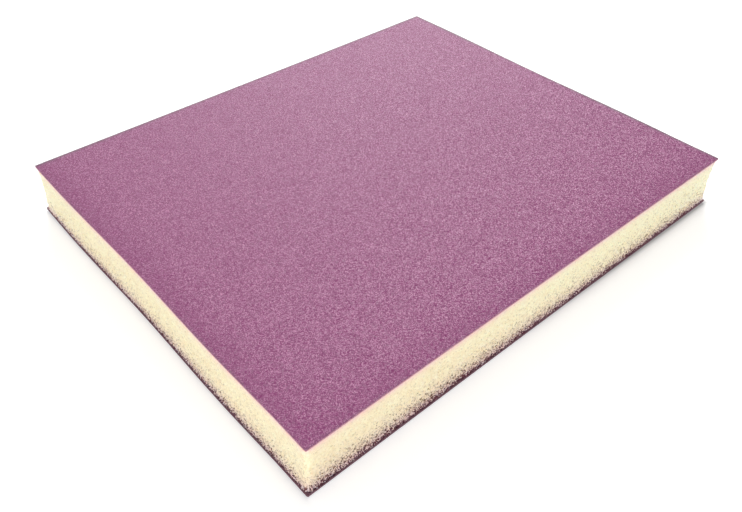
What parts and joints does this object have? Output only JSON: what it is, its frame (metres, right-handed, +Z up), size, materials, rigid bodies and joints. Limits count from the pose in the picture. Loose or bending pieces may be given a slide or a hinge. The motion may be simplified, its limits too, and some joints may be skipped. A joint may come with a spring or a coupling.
{
  "type": "sanding sponge",
  "caption": "Flat double-sided sanding sponge: a slab of fine open-cell foam with a bonded coat of abrasive grain on both broad faces.",
  "frame": {"origin": "centre of the bottom coat's outer face, on which the sponge lies", "axes": "+X along the long side, +Y along the short side, +Z up through the thickness"},
  "size_m": [0.1202, 0.098, 0.0127],
  "materials": {
    "foam": "cut open-cell foam, matt",
    "abrasive": "resin-bonded grain, matt and gritty"
  },
  "bodies": {
    "root": {"foam_core": "foam", "top_abrasive_coat": "abrasive", "bottom_abrasive_coat": "abrasive"}
  },
  "joints": []
}
